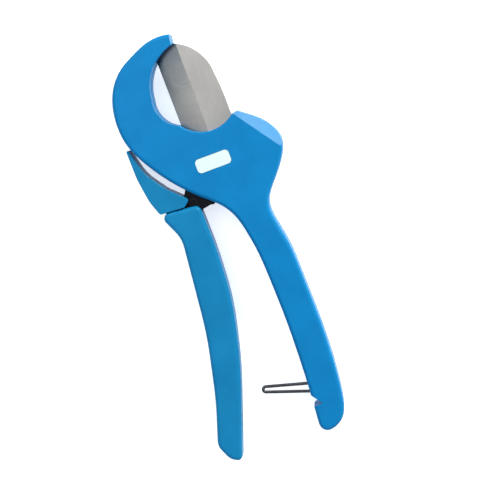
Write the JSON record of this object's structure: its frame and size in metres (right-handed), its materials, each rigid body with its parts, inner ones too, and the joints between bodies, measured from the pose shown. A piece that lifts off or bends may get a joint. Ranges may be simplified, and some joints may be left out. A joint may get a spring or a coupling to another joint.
{
  "type": "ratcheting pipe cutter",
  "caption": "Hand shear for plastic pipe: hooked jaw, pivoting steel blade with a ratchet sector, fixed and moving handles and a wire closing latch.",
  "frame": {"origin": "on the blade pivot's axis, in the flat plane of the rear shell's back face", "axes": "+Z out of the front face, +Y from the handles towards the hooked jaw, +X towards the fixed handle's side"},
  "size_m": [0.0921, 0.2567, 0.022],
  "materials": {
    "blue_casting": "satin baked enamel on a die casting",
    "blue_lever": "satin baked enamel",
    "grip_blue": "fine satin moulding",
    "blade_steel": "ground flat and bevel",
    "black_steel": "black oxide",
    "hardware_steel": "zinc plated",
    "spring_steel": "drawn wire and strip",
    "bearing_bronze": "turned",
    "label_white": "blank plate"
  },
  "bodies": {
    "frame": {"front_shell": "blue_casting", "rear_shell": "blue_casting", "shell_screws": "hardware_steel", "dowel_pins": "hardware_steel", "pivot_bolt": "hardware_steel", "thrust_washers": "bearing_bronze", "wave_washer": "spring_steel", "label_plate": "label_white", "handle_spring": "spring_steel", "bail_pin": "hardware_steel"},
    "blade": {"blade": "blade_steel", "blade_bush": "bearing_bronze"},
    "handle": {"lever_plate_front": "black_steel", "lever_plate_rear": "black_steel", "handle_casting": "blue_lever", "handle_grip": "grip_blue", "handle_rivets": "hardware_steel", "plate_spacers": "black_steel", "pawl_pin": "hardware_steel", "grip_screw": "hardware_steel", "pawl_leaf": "spring_steel"},
    "pawl": {"drive_pawl": "black_steel"},
    "bail": {"wire_bail": "spring_steel"}
  },
  "joints": [
    {"name": "blade_pivot", "type": "hinge", "parent": "frame", "child": "blade", "pos_m": [0, 0, 0.011], "axis": [0, 0, 1], "range_deg": [-45, 15]},
    {"name": "handle_pivot", "type": "hinge", "parent": "frame", "child": "handle", "pos_m": [0, 0, 0.011], "axis": [0, 0, 1], "range_deg": [0, 15], "stiffness_Nm_per_rad": 3, "springref_deg": -11.46},
    {"name": "pawl_pivot", "type": "hinge", "parent": "handle", "child": "pawl", "pos_m": [-0.01362, -0.02097, 0.011], "axis": [0, 0, 1], "range_deg": [0, 10]},
    {"name": "bail_pivot", "type": "hinge", "parent": "frame", "child": "bail", "pos_m": [0.029, -0.14811, 0.011], "axis": [0, 0, 1], "range_deg": [0, 30]}
  ]
}
